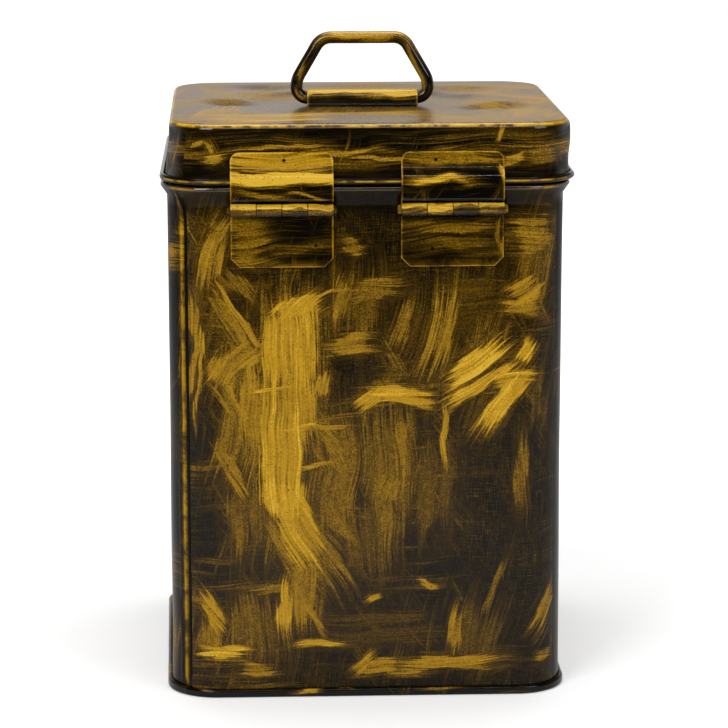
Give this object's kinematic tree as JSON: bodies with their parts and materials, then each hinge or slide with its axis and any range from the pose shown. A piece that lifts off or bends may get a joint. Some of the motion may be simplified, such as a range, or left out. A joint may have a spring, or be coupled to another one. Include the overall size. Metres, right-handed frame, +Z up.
{
  "type": "storage tin",
  "caption": "Tall square sheet-metal storage tin with a hinged lid, rolled rims, a mouth collar and a swinging wire carry handle, brushed gold over black.",
  "frame": {"origin": "on the ground under the centre of the tin's plan", "axes": "+Z up, the hinges on the -Y side, the lid's opening edge towards +Y, +X along the hinge pins"},
  "size_m": [0.2109, 0.2114, 0.3316],
  "materials": {
    "body_paint": "gold dry-brushed over gloss black, worn",
    "body_wire_steel": "plain drawn wire inside the rolled shoulder",
    "collar_lacquer": "dark lacquer",
    "base_paint": "gloss black with gold rubbed on the edge",
    "lid_paint": "gold dry-brushed over gloss black, worn",
    "lid_wire_steel": "plain drawn wire inside the rolled rim",
    "saddle_paint": "gold over black, worn",
    "bail_paint": "gloss black with gold brushed on",
    "left_lid_leaf_paint": "gold over black, worn",
    "left_body_leaf_paint": "gold over black, worn",
    "left_pin_paint": "gold over black, worn",
    "right_lid_leaf_paint": "gold over black, worn",
    "right_body_leaf_paint": "gold over black, worn",
    "right_pin_paint": "gold over black, worn"
  },
  "bodies": {
    "tin_body": {"body_shell": "body_paint", "body_rim_wire": "body_wire_steel", "mouth_collar": "collar_lacquer", "base_pan": "base_paint", "left_hinge_body_leaf": "left_body_leaf_paint", "left_hinge_pin": "left_pin_paint", "right_hinge_body_leaf": "right_body_leaf_paint", "right_hinge_pin": "right_pin_paint"},
    "lid": {"lid_shell": "lid_paint", "lid_rim_wire": "lid_wire_steel", "handle_saddle": "saddle_paint", "left_hinge_lid_leaf": "left_lid_leaf_paint", "right_hinge_lid_leaf": "right_lid_leaf_paint"},
    "handle": {"handle_bail": "bail_paint"}
  },
  "joints": [
    {"name": "lid_hinge", "type": "hinge", "parent": "tin_body", "child": "lid", "pos_m": [0, -0.1035, 0.2521], "axis": [1, 0, 0], "range_deg": [0, 160]},
    {"name": "handle_swing", "type": "hinge", "parent": "lid", "child": "handle", "pos_m": [0.0012, -0.003, 0.2969], "axis": [1, 0, 0], "range_deg": [-90, 90]}
  ]
}
